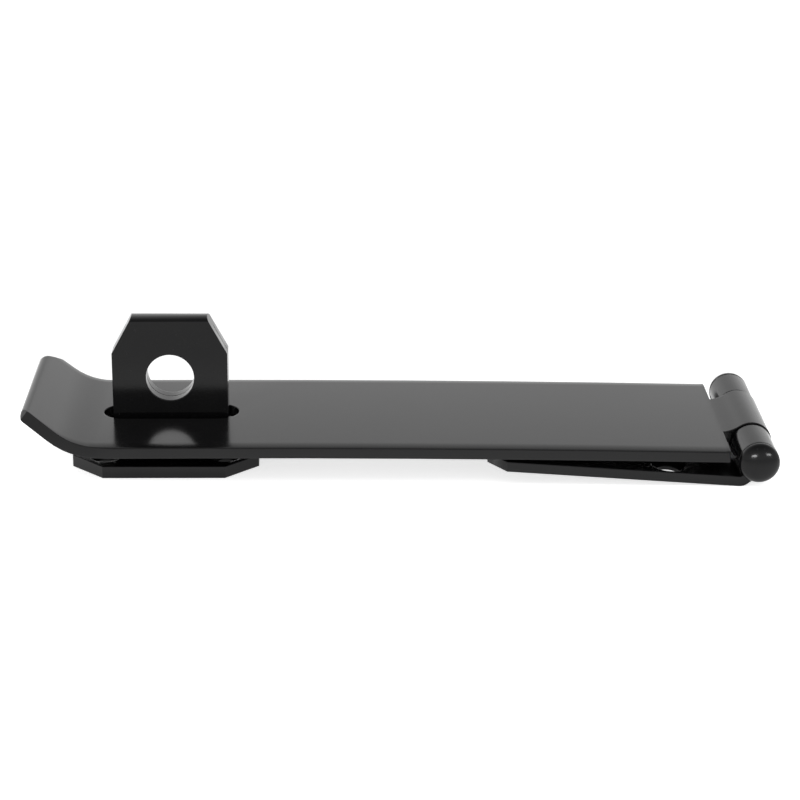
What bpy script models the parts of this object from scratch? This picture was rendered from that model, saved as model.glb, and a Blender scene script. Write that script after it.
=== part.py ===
"""Hasp and staple: a slotted strap hinged on a short leaf, closed over a folded staple.

Every piece is bent, rolled or folded from sheet, apart from the hinge pin.
X runs along the strap from its curled tip to the hinge, Y along the hinge pin, and Z is up.
The staple and the hinge end of the leaf stand on Z = 0.
"""

from math import atan, atan2, cos, hypot, pi, radians, sin, sqrt, tan

import bmesh
import bpy
from mathutils import Matrix, Vector

MM = 0.001
GAP = 0.3 * MM                       # kept between neighbouring pieces

# Sheet
THICK = 2.4 * MM                     # strap and staple
HALF_THICK = THICK / 2
LEAF_THICK = 2.0 * MM
EDGE_ROUND = 0.28 * MM               # the sheared edges after coating
WIDTH = 40.0 * MM                    # strap and leaf, along the pin

# Hinge
EYE_MID = 3.0 * MM                   # mid-line radius of both rolled eyes
PIN_RADIUS = EYE_MID - HALF_THICK - GAP
TONGUE_WIDTH = 19.0 * MM             # the strap's own knuckle
KNUCKLE_GAP = 0.7 * MM               # each side of the tongue
HEAD_RADIUS = 4.0 * MM
HEAD_RIM = 0.45 * MM                 # the head's straight side, under its dome
HEAD_DOME = 2.0 * MM
HEAD_STEPS = 9

# Strap, measured from the pin
STRAP_RISE = 0.9 * MM                # mid-plane above the pin's axis
STRAP_END = 5.6 * MM                 # the plate stops here, and only the tongue goes on
STRAP_SLOPE = radians(1.1)           # upward lean where it leaves the hinge
BOW_RADIUS = 5200 * MM
TONGUE_JOIN = radians(125)           # where the flat of the tongue meets the eye
TONGUE_TAIL = radians(-160)          # where the rolled sheet ends
PLATE_LENGTH = 122.9 * MM
TIP_RADIUS = 14.0 * MM
TIP_TURN = radians(38)
TIP_LENGTH = 5.9 * MM                # straight, up to the rounded end
TIP_CLIPS = (                        # side, length along the tip, length across it
    (-1, 18.0 * MM, 2.4 * MM),
    (-1, 1.7 * MM, 4.0 * MM),
    (1, 4.4 * MM, 5.2 * MM),
)
ROLL_OVERS = (                       # the top edges sag where they were sheared: width, slope
    (2.6 * MM, radians(5)),
    (1.2 * MM, radians(16)),
)

# Slot and staple
STAPLE_REACH = 115.8 * MM            # from the pin to the middle of the staple
SLOT_LENGTH = 27.2 * MM
SLOT_WIDTH = 8.5 * MM
BASE_LENGTH = 37.0 * MM
BASE_DEPTH = 30.8 * MM
BASE_SHIFT = -0.7 * MM               # the base sits this far towards the tip from the upstand
BASE_CLIP = 6.5 * MM
FOOT_BEND = 2.2 * MM                 # mid-line radius of the staple's two lower bends
SEAM = 0.16 * MM                     # between the two layers
UPSTAND_WIDTH = 23.0 * MM
UPSTAND_TOP_WIDTH = 15.0 * MM
SHOULDER_HEIGHT = 21.4 * MM
CREST_HEIGHT = 28.8 * MM
CROWN_HEIGHT = 0.9 * MM
FOLD_DEPTH = 2.2 * MM                # solid metal below the crest, over the seam
PADLOCK_RADIUS = 4.8 * MM
PADLOCK_HEIGHT = 16.4 * MM
STAPLE_SCREW_X = 11.9 * MM
STAPLE_SCREW_Y = 9.6 * MM
STAPLE_SCREW_RADIUS = 1.9 * MM
STAPLE_SINK_RADIUS = 3.1 * MM

# Leaf, measured from the pin
LEAF_LENGTH = 52.6 * MM
LEAF_DROP = 5.45 * MM                # underside below the pin's axis
LEAF_CLIP = (3.6 * MM, 4.6 * MM)     # along the leaf, across it
LEAF_TAIL = radians(190)
LEAF_BEND = 1.6 * MM                 # mid-line radius of the bend at the foot of the eye
LEAF_NOTCH = 6.6 * MM                # depth of the notch that the tongue turns in
LEAF_SCREWS = ((-16.9 * MM, -15.8 * MM), (-16.9 * MM, 15.8 * MM), (-40.0 * MM, 0.0))
LEAF_SCREW_RADIUS = 2.3 * MM
LEAF_SINK_RADIUS = 3.5 * MM

ARC_STEP = radians(9)                # one facet of a bend
LEAST_FACETS = 6                     # in any bend
CROWN_FACETS = 12
HOLE_SIDES = 48
FLAT_WITHIN = radians(0.05)          # faces this close to one plane are one face
BEVEL_ABOVE = radians(40)            # edges sharper than this are rounded
CREASE_ABOVE = radians(35)           # edges sharper than this are shaded as edges
CUT_REACH = 100 * MM                 # longer than any piece that a cutter crosses
NOSE_FACETS = 8                      # round the strap's free end
POWDER_BLACK = (0.010, 0.010, 0.011, 1.0)
POWDER_ROUGHNESS = 0.38


def clear_scene():
    for item in list(bpy.data.objects):
        bpy.data.objects.remove(item, do_unlink=True)


def new_collection(name):
    collection = bpy.data.collections.new(name)
    bpy.context.scene.collection.children.link(collection)
    return collection


def coat(name):
    material = bpy.data.materials.new(name)
    material.use_nodes = True
    shader = material.node_tree.nodes["Principled BSDF"]
    shader.inputs["Base Color"].default_value = POWDER_BLACK
    shader.inputs["Roughness"].default_value = POWDER_ROUGHNESS
    shader.inputs["Metallic"].default_value = 0.0
    material.diffuse_color = POWDER_BLACK
    return material


def adopt(item, collection):
    for owner in list(item.users_collection):
        owner.objects.unlink(item)
    collection.objects.link(item)
    return item


# ---- sheet-metal profiles -------------------------------------------------------------------

def walk(start, heading, moves):
    """Follow straight runs (length, 0) and arcs (radius, turn), left turns positive."""
    points = [(Vector(start), heading)]
    for size, turn in moves:
        place, heading = points[-1]
        if turn == 0:
            ahead = Vector((cos(heading), sin(heading)))
            points.append((place + ahead * size, heading))
            continue
        side = 1 if turn > 0 else -1
        centre = place + Vector((-sin(heading), cos(heading))) * size * side
        steps = max(LEAST_FACETS, round(abs(turn) / ARC_STEP))
        for step in range(1, steps + 1):
            angle = heading + turn * step / steps
            spoke = Vector((sin(angle), -cos(angle))) * size * side
            points.append((centre + spoke, angle))
    return points


def further(point, distance):
    """The path's point moved along its own heading."""
    place, heading = point
    return place + Vector((cos(heading), sin(heading))) * distance, heading


def offset_side(path, distance):
    """The path's points moved to its left by distance."""
    return [place + Vector((-sin(heading), cos(heading))) * distance for place, heading in path]


def sheet_outline(path, thick):
    return offset_side(path, thick / 2) + offset_side(path, -thick / 2)[::-1]


def nose(place, heading):
    """Points round a half-round end, from the left side of the path's last point to its right."""
    points = []
    for step in range(1, NOSE_FACETS):
        angle = heading + pi / 2 - pi * step / NOSE_FACETS
        points.append(place + Vector((cos(angle), sin(angle))) * HALF_THICK)
    return points


def extrude_outline(name, outline, depth, turn):
    """A closed outline drawn as a filled 2D curve, made a solid of the given depth."""
    curve = bpy.data.curves.new(name + "_outline", "CURVE")
    curve.dimensions = "2D"
    curve.fill_mode = "BOTH"
    curve.extrude = depth / 2
    spline = curve.splines.new("POLY")
    spline.points.add(len(outline) - 1)
    for point, place in zip(spline.points, outline):
        point.co = (place[0], place[1], 0, 1)
    spline.use_cyclic_u = True
    drawn = bpy.data.objects.new(name + "_outline", curve)
    bpy.context.scene.collection.objects.link(drawn)
    drawn.matrix_world = turn
    bpy.context.view_layer.update()
    graph = bpy.context.evaluated_depsgraph_get()
    mesh = bpy.data.meshes.new_from_object(drawn.evaluated_get(graph))
    solid = bpy.data.objects.new(name, mesh)
    solid.matrix_world = drawn.matrix_world.copy()
    bpy.context.scene.collection.objects.link(solid)
    bpy.data.objects.remove(drawn, do_unlink=True)
    bpy.data.curves.remove(curve)
    weld(mesh)
    return solid


def weld(mesh):
    """Join a filled curve's caps to its sides, and make each flat face one face."""
    work = bmesh.new()
    work.from_mesh(mesh)
    bmesh.ops.remove_doubles(work, verts=work.verts, dist=0.001 * MM)
    bmesh.ops.dissolve_limit(work, angle_limit=FLAT_WITHIN, verts=work.verts, edges=work.edges)
    bmesh.ops.recalc_face_normals(work, faces=work.faces)
    work.to_mesh(mesh)
    work.free()


def bake_transform(item):
    item.data.transform(item.matrix_basis)
    item.matrix_basis = Matrix.Identity(4)


# ---- cutters --------------------------------------------------------------------------------

def block(name, low, high):
    """A box cutter from its lowest to its highest corner."""
    mesh = bpy.data.meshes.new(name)
    work = bmesh.new()
    bmesh.ops.create_cube(work, size=1)
    work.to_mesh(mesh)
    work.free()
    cutter = bpy.data.objects.new(name, mesh)
    size = Vector(high) - Vector(low)
    middle = (Vector(high) + Vector(low)) / 2
    mesh.transform(Matrix.Translation(middle) @ Matrix.Diagonal((*size, 1)))
    return as_cutter(cutter)


def drill(name, radius, place):
    """A long cylinder cutter, centred on its place."""
    mesh = bpy.data.meshes.new(name)
    work = bmesh.new()
    bmesh.ops.create_cone(
        work, cap_ends=True, segments=HOLE_SIDES, radius1=radius, radius2=radius, depth=CUT_REACH
    )
    work.to_mesh(mesh)
    work.free()
    mesh.transform(place)
    return as_cutter(bpy.data.objects.new(name, mesh))


def as_cutter(item):
    adopt(item, cutters)
    item.hide_render = True
    item.display_type = "WIRE"
    return item


def cut(item, cutter):
    step = item.modifiers.new(cutter.name, "BOOLEAN")
    step.operation = "DIFFERENCE"
    step.solver = "EXACT"
    step.object = cutter


def corner_clip(name, corner, outward, along, across):
    """A block that takes a corner off, along X and across in Y; outward is the corner's signs in X and Y."""
    reach = 3 * max(along, across)
    depth = along * across / hypot(along, across)
    cutter = block(name, (-depth, -reach, -CUT_REACH), (reach, reach, CUT_REACH))
    turn = atan2(outward[1] * along, outward[0] * across)
    cutter.data.transform(Matrix.Translation(corner) @ Matrix.Rotation(turn, 4, "Z"))
    return cutter


def turned_shape(name, profile):
    """A solid turned about Z from an open profile that runs down its outer side."""
    mesh = bpy.data.meshes.new(name)
    edges = [(index, index + 1) for index in range(len(profile) - 1)]
    mesh.from_pydata([(radius, 0, height) for radius, height in profile], edges, [])
    solid = bpy.data.objects.new(name, mesh)
    turned = solid.modifiers.new("turned", "SCREW")
    turned.steps = HOLE_SIDES
    turned.render_steps = HOLE_SIDES
    turned.use_merge_vertices = True
    turned.merge_threshold = 0.001 * MM
    turned.use_smooth_shade = True
    return solid


def countersink(name, radius, sink_radius, top):
    """A cutter for a screw hole whose 90-degree sink opens at the given point."""
    over = HALF_THICK
    profile = (
        (0, over),
        (sink_radius + over, over),
        (radius, radius - sink_radius),
        (radius, -2 * THICK),
        (0, -2 * THICK),
    )
    cutter = turned_shape(name, profile)
    cutter.location = top
    return as_cutter(cutter)


# ---- finishing ------------------------------------------------------------------------------

def soften(item):
    """Round the sheared edges a little and shade the bends smooth."""
    bevel = item.modifiers.new("sheared_edges", "BEVEL")
    bevel.width = EDGE_ROUND
    bevel.segments = 2
    bevel.limit_method = "ANGLE"
    bevel.angle_limit = BEVEL_ABOVE
    bevel.use_clamp_overlap = True
    item.data.shade_smooth()
    item.data.set_sharp_from_angle(angle=CREASE_ABOVE)


def finish(item, name, material, holder):
    """Name, coat and hang a piece, with its cutters, on the empty that places it."""
    item.name = name
    item.data.name = name
    item.data.materials.clear()
    item.data.materials.append(material)
    adopt(item, part)
    item.parent = holder
    for step in item.modifiers:
        if step.type == "BOOLEAN":
            step.object.parent = holder


# ---- strap ----------------------------------------------------------------------------------

def strap_path():
    """The strap's mid-line from the tail of its rolled eye to its curled tip, pin at the origin."""
    start = Vector((cos(TONGUE_TAIL), sin(TONGUE_TAIL))) * EYE_MID
    join_turn = TONGUE_JOIN + pi / 2 - (pi - STRAP_SLOPE)
    join_rise = EYE_MID * sin(TONGUE_JOIN) - STRAP_RISE
    join_radius = join_rise / (1 - cos(join_turn))
    moves = (
        (EYE_MID, TONGUE_JOIN - TONGUE_TAIL),
        (join_radius, -join_turn),
        (BOW_RADIUS, PLATE_LENGTH / BOW_RADIUS),
        (TIP_RADIUS, -TIP_TURN),
        (TIP_LENGTH, 0),
    )
    return walk(start, TONGUE_TAIL + pi / 2, moves)


def make_strap(material):
    path = strap_path()
    side_on = Matrix.Rotation(pi / 2, 4, "X")
    outline = offset_side(path, HALF_THICK) + nose(*path[-1]) + offset_side(path, -HALF_THICK)[::-1]
    strap = extrude_outline("strap", outline, WIDTH, side_on)
    bake_transform(strap)
    half = WIDTH / 2
    inner = TONGUE_WIDTH / 2
    for label, near, far in (("front", -half - MM, -inner), ("back", inner, half + MM)):
        low = (-STRAP_END, near, -CUT_REACH)
        high = (CUT_REACH, far, CUT_REACH)
        cut(strap, block("strap_notch_" + label, low, high))
    cut(strap, slot_cutter())
    for number, (width, slope) in enumerate(ROLL_OVERS, 1):
        for label, side in (("front", -1), ("back", 1)):
            cut(strap, roll_over("roll_over_%s_%d" % (label, number), path, side, width, slope))
    tip, heading = further(path[-1], HALF_THICK)
    lean = Matrix.Translation((tip.x, 0, tip.y)) @ Matrix.Rotation(pi - heading, 4, "Y")
    for number, (side, along, across) in enumerate(TIP_CLIPS, 1):
        cutter = corner_clip("tip_clip_%d" % number, (0, side * half, 0), (-1, side), along, across)
        cutter.data.transform(lean)
        cut(strap, cutter)
    soften(strap)
    finish(strap, "strap", material, pin_axis)


def roll_over(name, path, side, width, slope):
    """The space over one long edge of the plate, sloped so that it takes a thin wedge off the top."""
    plate = [(place, heading) for place, heading in path if place.x < -STRAP_END]
    plate.insert(0, further(plate[0], -2 * THICK))
    plate.append(further(plate[-1], 2 * THICK))
    outline = offset_side(plate, -HALF_THICK) + offset_side(plate, -HALF_THICK - 2 * THICK)[::-1]
    cutter = extrude_outline(name, outline, WIDTH, Matrix.Rotation(pi / 2, 4, "X"))
    bake_transform(cutter)
    slant = Matrix.Identity(4)
    slant[2][1] = -side * tan(slope)
    slant = slant @ Matrix.Translation((0, side * (WIDTH / 2 - THICK), 0))
    cutter.data.transform(Matrix.Translation((0, side * (WIDTH / 2 - width), 0)) @ slant)
    return as_cutter(cutter)


def slot_cutter():
    """A round-ended slot cutter through the strap."""
    radius = SLOT_WIDTH / 2
    straight = SLOT_LENGTH - SLOT_WIDTH
    path = walk((-straight / 2, -radius), 0, ((straight, 0), (radius, pi), (straight, 0), (radius, pi)))
    outline = [place for place, heading in path[:-1]]
    cutter = extrude_outline("strap_slot", outline, CUT_REACH, Matrix.Translation((-STAPLE_REACH, 0, 0)))
    bake_transform(cutter)
    return as_cutter(cutter)


# ---- leaf -----------------------------------------------------------------------------------

def leaf_path():
    """The leaf's mid-line from its free end, under the pin and round it, before it is tilted."""
    rise = LEAF_DROP - LEAF_THICK / 2 - EYE_MID
    bend = LEAF_BEND + EYE_MID
    turn = 2 * atan(sqrt(rise / (2 * bend - rise)))
    run = bend * sin(turn)
    level = -LEAF_DROP + LEAF_THICK / 2
    moves = (
        (LEAF_LENGTH - run, 0),
        (LEAF_BEND, turn),
        (EYE_MID, -turn),
        (EYE_MID, LEAF_TAIL + pi / 2),
    )
    return walk((-LEAF_LENGTH, level), 0, moves), run


def leaf_tilt():
    """The turn about the pin that brings the leaf's free end up to the strap's underside."""
    underside = STRAP_RISE - HALF_THICK + LEAF_LENGTH * sin(STRAP_SLOPE)
    underside -= LEAF_LENGTH ** 2 / (2 * BOW_RADIUS)
    top = LEAF_THICK - LEAF_DROP
    return atan((underside - GAP - top) / LEAF_LENGTH)


def pin_height():
    """The pin's height when the lowest line of the tilted leaf is on the ground."""
    run = leaf_path()[1]
    return LEAF_DROP * cos(leaf_tilt()) - run * sin(leaf_tilt())


def make_leaf(material):
    path = leaf_path()[0]
    side_on = Matrix.Rotation(pi / 2, 4, "X")
    leaf = extrude_outline("hinge_leaf", sheet_outline(path, LEAF_THICK), WIDTH, side_on)
    bake_transform(leaf)
    half = WIDTH / 2
    inner = TONGUE_WIDTH / 2 + KNUCKLE_GAP
    cut(leaf, block("leaf_notch", (-LEAF_NOTCH, -inner, -CUT_REACH), (CUT_REACH, inner, CUT_REACH)))
    for label, side in (("front", -1), ("back", 1)):
        corner = (-LEAF_LENGTH, side * half, 0)
        cut(leaf, corner_clip("leaf_clip_" + label, corner, (-1, side), *LEAF_CLIP))
    top = LEAF_THICK - LEAF_DROP
    for number, (along, across) in enumerate(LEAF_SCREWS, 1):
        place = (along, across, top)
        cut(leaf, countersink("leaf_screw_%d" % number, LEAF_SCREW_RADIUS, LEAF_SINK_RADIUS, place))
    soften(leaf)
    finish(leaf, "hinge_leaf", material, leaf_axis)


# ---- pin ------------------------------------------------------------------------------------

def pin_profile():
    """Half of the pin's outline, from the top of one domed head to the shank under it."""
    face = WIDTH / 2 + GAP
    points = []
    for step in range(HEAD_STEPS + 1):
        angle = pi / 2 * step / HEAD_STEPS
        points.append((HEAD_RADIUS * sin(angle), face + HEAD_RIM + HEAD_DOME * cos(angle)))
    points.append((HEAD_RADIUS, face))
    points.append((PIN_RADIUS, face))
    return points


def make_pin(material):
    """A shank with a formed head at each end, turned about its own axis and laid along Y."""
    half = pin_profile()
    profile = half + [(radius, -height) for radius, height in half[::-1]]
    pin = turned_shape("hinge_pin", profile)
    bpy.context.scene.collection.objects.link(pin)
    pin.rotation_euler = (pi / 2, 0, 0)
    finish(pin, "hinge_pin", material, leaf_axis)


# ---- staple ---------------------------------------------------------------------------------

def staple_outline():
    """The folded section: two flanges, two lower bends and a double wall under a pressed fold."""
    wall = SEAM / 2 + HALF_THICK
    flange = BASE_DEPTH / 2 - wall - FOOT_BEND
    crown_base = CREST_HEIGHT - CROWN_HEIGHT
    climb = crown_base - HALF_THICK - FOOT_BEND
    path = walk((-BASE_DEPTH / 2, HALF_THICK), 0, ((flange, 0), (FOOT_BEND, pi / 2), (climb, 0)))
    outer = offset_side(path, HALF_THICK)
    inner = offset_side(path, -HALF_THICK)
    inner[-1] = Vector((inner[-1].x, CREST_HEIGHT - FOLD_DEPTH))
    half_wide = SEAM / 2 + THICK
    crown = []
    for step in range(1, CROWN_FACETS):
        angle = pi - pi * step / CROWN_FACETS
        crown.append(Vector((half_wide * cos(angle), crown_base + CROWN_HEIGHT * sin(angle))))
    mirror_outer = [Vector((-place.x, place.y)) for place in outer[::-1]]
    mirror_inner = [Vector((-place.x, place.y)) for place in inner]
    return outer + crown + mirror_outer + mirror_inner + inner[::-1]


def make_staple(material):
    end_on = Matrix.Rotation(pi / 2, 4, "Z") @ Matrix.Rotation(pi / 2, 4, "X")
    end_on = Matrix.Translation((BASE_SHIFT, 0, 0)) @ end_on
    staple = extrude_outline("staple", staple_outline(), BASE_LENGTH, end_on)
    bake_transform(staple)
    half = UPSTAND_WIDTH / 2
    throat = SEAM / 2 + THICK + FOOT_BEND
    over = BASE_LENGTH
    for label, side in (("tip", -1), ("hinge", 1)):
        low, high = sorted((side * half, side * over))
        cut(staple, block("waist_" + label, (low, -throat, -MM), (high, throat, CUT_REACH)))
        cut(staple, shoulder_cutter(label, side))
    for number, (along, across) in enumerate(((-1, -1), (-1, 1), (1, -1), (1, 1)), 1):
        corner = (BASE_SHIFT + along * BASE_LENGTH / 2, across * BASE_DEPTH / 2, 0)
        cut(staple, corner_clip("base_clip_%d" % number, corner, (along, across), BASE_CLIP, BASE_CLIP))
        top = (BASE_SHIFT + along * STAPLE_SCREW_X, across * STAPLE_SCREW_Y, THICK)
        cut(staple, countersink("staple_screw_%d" % number, STAPLE_SCREW_RADIUS, STAPLE_SINK_RADIUS, top))
    place = Matrix.Translation((0, 0, PADLOCK_HEIGHT)) @ Matrix.Rotation(pi / 2, 4, "X")
    cut(staple, drill("padlock_hole_cutter", PADLOCK_RADIUS, place))
    soften(staple)
    finish(staple, "staple", material, staple_spot)


def shoulder_cutter(label, side):
    """A leaning block that takes one top corner off the upstand."""
    rise = CREST_HEIGHT - SHOULDER_HEIGHT
    inset = (UPSTAND_WIDTH - UPSTAND_TOP_WIDTH) / 2
    lean = atan(inset / rise)
    cutter = block("shoulder_" + label, (0, -CUT_REACH, -CREST_HEIGHT), (CUT_REACH, CUT_REACH, CUT_REACH))
    if side < 0:
        cutter.data.transform(Matrix.Rotation(pi, 4, "Z"))
    foot = Matrix.Translation((side * UPSTAND_WIDTH / 2, 0, SHOULDER_HEIGHT))
    cutter.data.transform(foot @ Matrix.Rotation(-side * lean, 4, "Y"))
    return cutter


# ---- placing --------------------------------------------------------------------------------

def empty(name, place, turn=0.0):
    holder = bpy.data.objects.new(name, None)
    holder.location = place
    holder.rotation_euler = (0, turn, 0)
    holder.empty_display_size = 10 * MM
    part.objects.link(holder)
    return holder


def hinge_x():
    """The pin's place along X, with the origin midway between the tip and the hinge."""
    tip_reach = HALF_THICK - strap_path()[-1][0].x
    eye_reach = EYE_MID + HALF_THICK
    return (tip_reach - eye_reach) / 2


clear_scene()
part = new_collection("hasp_and_staple")
cutters = new_collection("cutters")
pin_place = Vector((hinge_x(), 0, pin_height()))
pin_axis = empty("pin_axis", pin_place)
leaf_axis = empty("leaf_axis", pin_place, leaf_tilt())
staple_spot = empty("staple_spot", (pin_place.x - STAPLE_REACH, 0, 0))
make_strap(coat("strap_coat"))
make_leaf(coat("leaf_coat"))
make_pin(coat("pin_coat"))
make_staple(coat("staple_coat"))
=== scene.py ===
"""Looks of the hasp and staple: its powder-coated steel, a pale floor, soft light and a camera.

Metres, +Z up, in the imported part's own frame. Lengths are named in millimetres times MM.
"""

from math import pi, radians

import bmesh
import bpy
from mathutils import Matrix, Vector


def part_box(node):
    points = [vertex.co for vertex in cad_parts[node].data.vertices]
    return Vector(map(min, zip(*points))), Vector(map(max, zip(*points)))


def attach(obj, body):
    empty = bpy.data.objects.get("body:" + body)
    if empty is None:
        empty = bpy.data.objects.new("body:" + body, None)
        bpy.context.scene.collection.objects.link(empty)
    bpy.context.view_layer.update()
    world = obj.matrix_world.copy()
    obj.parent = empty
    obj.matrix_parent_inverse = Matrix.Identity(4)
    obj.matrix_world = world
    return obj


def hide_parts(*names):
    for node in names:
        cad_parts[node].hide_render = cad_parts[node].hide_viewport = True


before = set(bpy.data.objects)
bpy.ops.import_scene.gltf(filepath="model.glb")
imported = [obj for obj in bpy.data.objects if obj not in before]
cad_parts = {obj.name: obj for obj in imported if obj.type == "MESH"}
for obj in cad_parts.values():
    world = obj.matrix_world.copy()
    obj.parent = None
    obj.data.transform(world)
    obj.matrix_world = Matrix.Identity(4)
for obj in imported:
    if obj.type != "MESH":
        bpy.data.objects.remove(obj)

MM = 0.001

# Camera, seen from in front, above and a little to the tip's side of the middle
CAMERA_PLACE = Vector((-10.6, -452.8, 175.6)) * MM
CAMERA_PITCH = radians(20.0)         # down from level
CAMERA_YAW = radians(1.35)           # towards +X
CAMERA_ROLL = radians(0.44)
CAMERA_LENS = 107.5
CAMERA_SENSOR = 36.0                 # width, in the same unit as the lens
CAMERA_NEAR = 10 * MM                # shortest distance shown

# Meshes
WELD = 0.002 * MM
CREASE = radians(50)                 # edges sharper than this stay creased
FLAT_WEIGHT = 80                     # how far large faces steer the shading of the small ones

# Coat: how much each piece reflects, and its roughness
COAT_IOR = 1.33
LEAF_IOR = 1.305
PIN_IOR = 1.275
STRAP_ROUGH = 0.165
LEAF_ROUGH = 0.19
PIN_ROUGH = 0.16
STAPLE_ROUGH = 0.14

# Coat: colours
BLACK = (0.0024, 0.0024, 0.0026, 1.0)
SOFT_BLACK = (0.0036, 0.0036, 0.0038, 1.0)
DUST = (0.030, 0.030, 0.031, 1.0)
RUBBED = (0.025, 0.025, 0.026, 1.0)

# Coat: noises, each with its repeats a metre, its detail and its roughness
CLOUD = (90, 3.0, 0.5)
RUB = (420, 3.0, 0.5)
PEEL = (1500, 2.0, 0.55)
SPECK = (2600, 1.0, 0.5)
GRIT = (5200, 2.0, 0.6)

# Coat: the part of a noise's 0 to 1 that is spread over the whole range of what it drives
MIDDLE_BAND = (0.3, 0.7)
RUB_BAND = (0.42, 0.62)
SPECK_BAND = (0.70, 0.78)

# Coat: strengths
EDGE_ROUND = 0.30 * MM               # over the sheared edges
EDGE_SAMPLES = 8
EDGE_BAND = (0.995, 0.82)            # cosine of the rounded normal to the true one, on a flat and on an edge
RUB_LEAST = 0.15                     # on the parts of an edge that are hardly rubbed
RUB_TINT = 0.4
RUB_ROUGH = 0.06
SPECK_TINT = 0.25
CLOUD_ROUGH = (-0.025, 0.035)        # added to a piece's roughness
GRIT_ROUGH = (-0.03, 0.03)
PEEL_STRENGTH = 0.16
PEEL_DEPTH = 0.02 * MM
GRIT_STRENGTH = 0.12
GRIT_DEPTH = 0.006 * MM

# Floor
WHITE = (1.0, 1.0, 1.0, 1.0)
FLOOR_SIZE = 6.0
FLOOR_COLOUR = (0.9, 0.9, 0.9, 1.0)
FLOOR_ROUGH = 0.9
GLOW = 0.72                          # the floor's own light close round the object, against its shadow
GLOW_FRONT = (24 * MM, 62 * MM)      # in front of the middle, where it starts and ends fading
GLOW_BACK = (15 * MM, 45 * MM)
GLOW_SIDES = (80 * MM, 130 * MM)
UNLIT_INSET = Vector((7.0, 12.5, 0)) * MM      # from the leaf's low corner to that of the floor left unlit
UNLIT_OUTSET = Vector((2.0, -0.5, 0)) * MM     # from its high corner

# Light
SKY_HORIZON = 1.22                   # strength of the surround low down
SKY_ZENITH = 0.30                    # and overhead
SKY_RISE = (0.25, 0.95)              # heights on the unit sphere where it starts and stops fading
OVERHEAD_POWER = 19.0
OVERHEAD_SIZE = (2.4, 2.4)
OVERHEAD_PLACE = Vector((0, 0.15, 1.2))
OVERHEAD_AIM = Vector((0, 0.15, 0))
STRIP_SIZE = (0.26, 0.10)
LEFT_STRIP_POWER = 2.9
LEFT_STRIP_PLACE = Vector((-0.16, -0.80, 0.23))
RIGHT_STRIP_POWER = 2.0
RIGHT_STRIP_PLACE = Vector((0.56, -0.64, 0.27))

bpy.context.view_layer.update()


# ---- nodes ----------------------------------------------------------------------------------

class Graph:
    """A small helper that adds nodes to a tree and joins them."""

    def __init__(self, tree):
        self.tree = tree

    def feed(self, socket, value):
        """Gives a socket its value, or the link that brings it."""
        if isinstance(value, bpy.types.NodeSocket):
            self.tree.links.new(value, socket)
        else:
            socket.default_value = value

    def node(self, kind, inputs=None, **settings):
        made = self.tree.nodes.new(kind)
        for name, value in settings.items():
            setattr(made, name, value)
        for name, value in (inputs or {}).items():
            self.feed(made.inputs[name], value)
        return made

    def noise(self, place, scale, detail, roughness):
        """Noise from 0 to 1; scale is in repeats a metre."""
        made = self.node(
            "ShaderNodeTexNoise",
            {"Vector": place, "Scale": scale, "Detail": detail, "Roughness": roughness},
        )
        return made.outputs["Fac"]

    def remap(self, value, low, high, new_low, new_high):
        made = self.node(
            "ShaderNodeMapRange",
            {"Value": value, "From Min": low, "From Max": high, "To Min": new_low, "To Max": new_high},
        )
        return made.outputs["Result"]

    def mix_colour(self, factor, first, second):
        made = self.node("ShaderNodeMix", {"Factor": factor}, data_type="RGBA")
        for name, value in (("A", first), ("B", second)):
            target = [item for item in made.inputs if item.name == name and item.type == "RGBA"][0]
            self.feed(target, value)
        return [item for item in made.outputs if item.type == "RGBA"][0]

    def maths(self, operation, first, second, third=0.0):
        made = self.node("ShaderNodeMath", {0: first, 1: second, 2: third}, operation=operation)
        return made.outputs["Value"]

    def multiply(self, first, second):
        return self.maths("MULTIPLY", first, second)

    def bump(self, height, strength, depth, normal):
        made = self.node(
            "ShaderNodeBump",
            {"Height": height, "Strength": strength, "Distance": depth, "Normal": normal},
        )
        return made.outputs["Normal"]


# ---- materials ------------------------------------------------------------------------------

def edge_mask(graph, rounded):
    """1 on convex and concave edges, 0 on flats, from how a rounded normal leaves the true one."""
    true = graph.node("ShaderNodeNewGeometry").outputs["Normal"]
    aligned = graph.node("ShaderNodeVectorMath", {0: rounded, 1: true}, operation="DOT_PRODUCT")
    return graph.remap(aligned.outputs["Value"], *EDGE_BAND, 0.0, 1.0)


def own_place(graph, seed):
    """The place on the piece, moved so that no two pieces share their pattern."""
    place = graph.node("ShaderNodeTexCoord").outputs["Object"]
    shift = (seed, seed * 2, seed * 3)
    moved = graph.node("ShaderNodeVectorMath", {0: place, 1: shift}, operation="ADD")
    return moved.outputs["Vector"]


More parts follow.
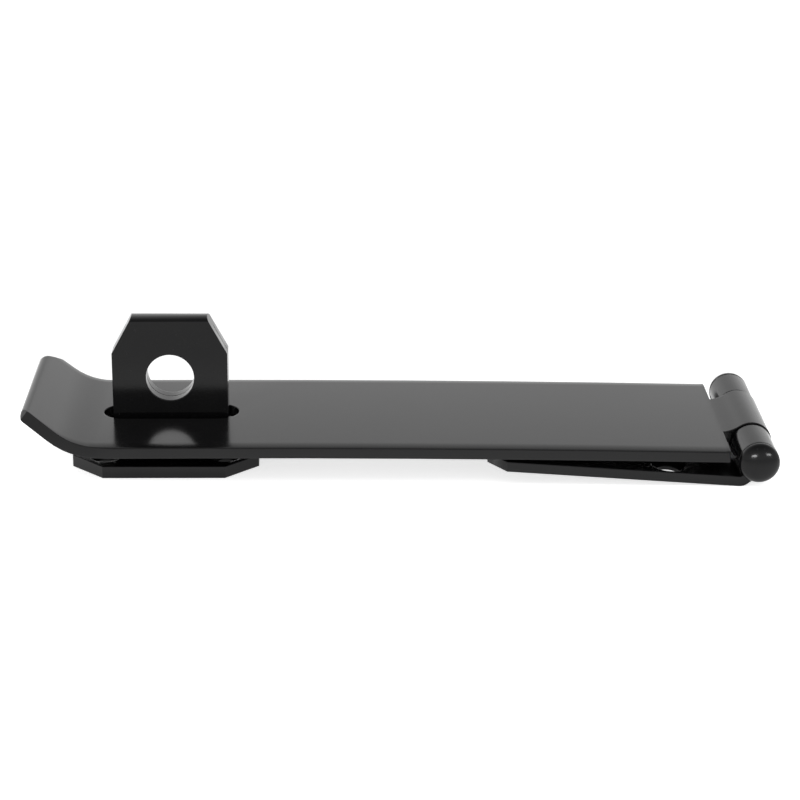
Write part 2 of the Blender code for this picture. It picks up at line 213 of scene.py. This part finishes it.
def powder_coat(name, seed, piece_rough, ior):
    """Satin black powder coat: orange-peel skin, cloudy gloss, dust specks and rubbed edges."""
    material = bpy.data.materials.new(name)
    material.use_nodes = True
    material.diffuse_color = BLACK
    shader = material.node_tree.nodes["Principled BSDF"]
    graph = Graph(material.node_tree)
    place = own_place(graph, seed)

    cloud = graph.noise(place, *CLOUD)
    peel = graph.noise(place, *PEEL)
    grit = graph.noise(place, *GRIT)
    speck = graph.remap(graph.noise(place, *SPECK), *SPECK_BAND, 0.0, 1.0)
    rounded = graph.node("ShaderNodeBevel", {"Radius": EDGE_ROUND}, samples=EDGE_SAMPLES).outputs["Normal"]
    wear = graph.remap(graph.noise(place, *RUB), *RUB_BAND, RUB_LEAST, 1.0)
    rub = graph.multiply(edge_mask(graph, rounded), wear)

    colour = graph.mix_colour(graph.remap(cloud, *MIDDLE_BAND, 0.0, 1.0), BLACK, SOFT_BLACK)
    colour = graph.mix_colour(graph.multiply(speck, SPECK_TINT), colour, DUST)
    colour = graph.mix_colour(graph.multiply(rub, RUB_TINT), colour, RUBBED)
    graph.feed(shader.inputs["Base Color"], colour)

    cloudy = [piece_rough + change for change in CLOUD_ROUGH]
    rough = graph.remap(cloud, *MIDDLE_BAND, *cloudy)
    rough = graph.maths("ADD", rough, graph.remap(grit, *MIDDLE_BAND, *GRIT_ROUGH))
    rough = graph.maths("ADD", rough, graph.multiply(rub, RUB_ROUGH))
    graph.feed(shader.inputs["Roughness"], rough)

    skin = graph.bump(peel, PEEL_STRENGTH, PEEL_DEPTH, rounded)
    grain = graph.bump(grit, GRIT_STRENGTH, GRIT_DEPTH, skin)
    graph.feed(shader.inputs["Normal"], grain)
    graph.feed(shader.inputs["Metallic"], 0.0)
    graph.feed(shader.inputs["IOR"], ior)
    return material


# ---- pieces ---------------------------------------------------------------------------------

def welded_skin(node):
    """A copy of the node's mesh with its corners welded, shaded smooth between its creases."""
    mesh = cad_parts[node].data.copy()
    mesh.name = node + "_skin"
    work = bmesh.new()
    work.from_mesh(mesh)
    bmesh.ops.remove_doubles(work, verts=work.verts, dist=WELD)
    bmesh.ops.recalc_face_normals(work, faces=work.faces)
    work.to_mesh(mesh)
    work.free()
    if "custom_normal" in mesh.attributes:
        mesh.attributes.remove(mesh.attributes["custom_normal"])
    mesh.shade_smooth()
    mesh.set_sharp_from_angle(angle=CREASE)
    return mesh


def coated_piece(node, body, material):
    """The node's shape in its coat."""
    mesh = welded_skin(node)
    mesh.materials.clear()
    mesh.materials.append(material)
    piece = bpy.data.objects.new(node + "_coated", mesh)
    bpy.context.scene.collection.objects.link(piece)
    weighted = piece.modifiers.new("flat_faces", "WEIGHTED_NORMAL")
    weighted.keep_sharp = True
    weighted.weight = FLAT_WEIGHT
    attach(piece, body)
    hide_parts(node)
    return piece


def make_strap():
    material = powder_coat("strap_coat_skin", seed=0.11, piece_rough=STRAP_ROUGH, ior=COAT_IOR)
    return coated_piece("strap", "strap", material)


def make_leaf():
    material = powder_coat("leaf_coat_skin", seed=0.37, piece_rough=LEAF_ROUGH, ior=LEAF_IOR)
    return coated_piece("hinge_leaf", "leaf", material)


def make_pin():
    material = powder_coat("pin_coat_skin", seed=0.53, piece_rough=PIN_ROUGH, ior=PIN_IOR)
    return coated_piece("hinge_pin", "leaf", material)


def make_staple():
    material = powder_coat("staple_coat_skin", seed=0.71, piece_rough=STAPLE_ROUGH, ior=COAT_IOR)
    return coated_piece("staple", "staple", material)


# ---- stage ----------------------------------------------------------------------------------

def under_leaf(graph, axes):
    """1 on the floor under the leaf and 0 elsewhere."""
    low, high = (Vector(corner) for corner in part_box("hinge_leaf"))
    low = low + UNLIT_INSET
    high = high + UNLIT_OUTSET
    middle = (low + high) / 2
    half = (high - low) / 2
    along = graph.maths("COMPARE", axes["X"], middle.x, half.x)
    across = graph.maths("COMPARE", axes["Y"], middle.y, half.y)
    return graph.multiply(along, across)


def floor_glow(graph):
    """A faint light of the floor's own, round the object but not under its leaf."""
    place = graph.node("ShaderNodeTexCoord").outputs["Object"]
    axes = graph.node("ShaderNodeSeparateXYZ", {"Vector": place}).outputs
    front = graph.remap(graph.multiply(axes["Y"], -1.0), *GLOW_FRONT, GLOW, 0.0)
    back = graph.remap(axes["Y"], *GLOW_BACK, 1.0, 0.0)
    sides = graph.remap(graph.maths("ABSOLUTE", axes["X"], 0.0), *GLOW_SIDES, 1.0, 0.0)
    glow = graph.multiply(front, graph.multiply(back, sides))
    return graph.multiply(glow, graph.maths("SUBTRACT", 1.0, under_leaf(graph, axes)))


def floor_white():
    """Matt white with the floor's own light."""
    material = bpy.data.materials.new("pale_floor")
    material.use_nodes = True
    shader = material.node_tree.nodes["Principled BSDF"]
    graph = Graph(material.node_tree)
    graph.feed(shader.inputs["Base Color"], FLOOR_COLOUR)
    graph.feed(shader.inputs["Roughness"], FLOOR_ROUGH)
    graph.feed(shader.inputs["Specular IOR Level"], 0.0)
    graph.feed(shader.inputs["Emission Color"], WHITE)
    graph.feed(shader.inputs["Emission Strength"], floor_glow(graph))
    return material


def make_floor():
    mesh = bpy.data.meshes.new("floor")
    work = bmesh.new()
    bmesh.ops.create_grid(work, x_segments=1, y_segments=1, size=FLOOR_SIZE / 2)
    work.to_mesh(mesh)
    work.free()
    mesh.materials.append(floor_white())
    floor = bpy.data.objects.new("floor", mesh)
    bpy.context.scene.collection.objects.link(floor)


def make_sky():
    """A soft white surround, brightest near the horizon."""
    world = bpy.data.worlds.new("soft_white")
    bpy.context.scene.world = world
    world.use_nodes = True
    graph = Graph(world.node_tree)
    along = graph.node("ShaderNodeTexCoord").outputs["Generated"]
    height = graph.node("ShaderNodeSeparateXYZ", {"Vector": along}).outputs["Z"]
    background = world.node_tree.nodes["Background"]
    graph.feed(background.inputs["Color"], WHITE)
    graph.feed(background.inputs["Strength"], graph.remap(height, *SKY_RISE, SKY_HORIZON, SKY_ZENITH))


def softbox(name, place, aim, size, power):
    light = bpy.data.lights.new(name, "AREA")
    light.shape = "RECTANGLE"
    light.size, light.size_y = size
    light.energy = power
    lamp = bpy.data.objects.new(name, light)
    lamp.location = place
    lamp.rotation_euler = (aim - place).to_track_quat("-Z", "Y").to_euler()
    bpy.context.scene.collection.objects.link(lamp)
    return lamp


def make_overhead():
    """A broad lamp that lights the floor and leaves no picture of itself in the coat."""
    lamp = softbox("overhead", OVERHEAD_PLACE, OVERHEAD_AIM, OVERHEAD_SIZE, OVERHEAD_POWER)
    lamp.visible_glossy = False


def make_strips(pin):
    """Two small lamps in front that light only the pin, for the highlights on its head."""
    lit = bpy.data.collections.new("lit_by_strips")
    lit.objects.link(pin)
    low, high = (Vector(corner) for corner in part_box("hinge_pin"))
    hinge = (low + high) / 2
    for name, place, power in (
        ("left_strip", LEFT_STRIP_PLACE, LEFT_STRIP_POWER),
        ("right_strip", RIGHT_STRIP_PLACE, RIGHT_STRIP_POWER),
    ):
        lamp = softbox(name, place, hinge, STRIP_SIZE, power)
        lamp.light_linking.receiver_collection = lit


def make_camera():
    data = bpy.data.cameras.new("camera")
    data.sensor_width = CAMERA_SENSOR
    data.lens = CAMERA_LENS
    data.clip_start = CAMERA_NEAR
    camera = bpy.data.objects.new("camera", data)
    turn = (
        Matrix.Rotation(-CAMERA_YAW, 4, "Z")
        @ Matrix.Rotation(pi / 2 - CAMERA_PITCH, 4, "X")
        @ Matrix.Rotation(CAMERA_ROLL, 4, "Z")
    )
    camera.matrix_world = Matrix.Translation(CAMERA_PLACE) @ turn
    bpy.context.scene.collection.objects.link(camera)
    bpy.context.scene.camera = camera


make_strap()
make_leaf()
pin = make_pin()
make_staple()
make_floor()
make_sky()
make_overhead()
make_strips(pin)
make_camera()
bpy.context.scene.view_settings.view_transform = "Standard"
